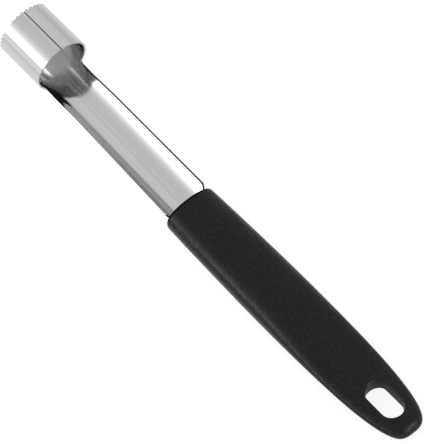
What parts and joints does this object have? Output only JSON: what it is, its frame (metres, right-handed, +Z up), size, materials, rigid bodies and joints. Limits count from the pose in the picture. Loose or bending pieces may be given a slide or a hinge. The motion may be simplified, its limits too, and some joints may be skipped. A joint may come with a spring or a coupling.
{
  "type": "apple corer",
  "caption": "Hand corer for apples: a toothed steel tube rolled from sheet, running back as an open channel into a moulded handle with a hanging slot.",
  "frame": {"origin": "on the surface the corer lies on, below the middle of its whole length", "axes": "+X along the tool from the teeth to the butt of the handle, +Y across it, +Z up, the way the channel opens"},
  "size_m": [0.1986, 0.0222, 0.0273],
  "materials": {
    "steel": "polished stainless sheet",
    "grip": "matte with a fine grain"
  },
  "bodies": {
    "root": {"blade": "steel", "handle": "grip"}
  },
  "joints": []
}
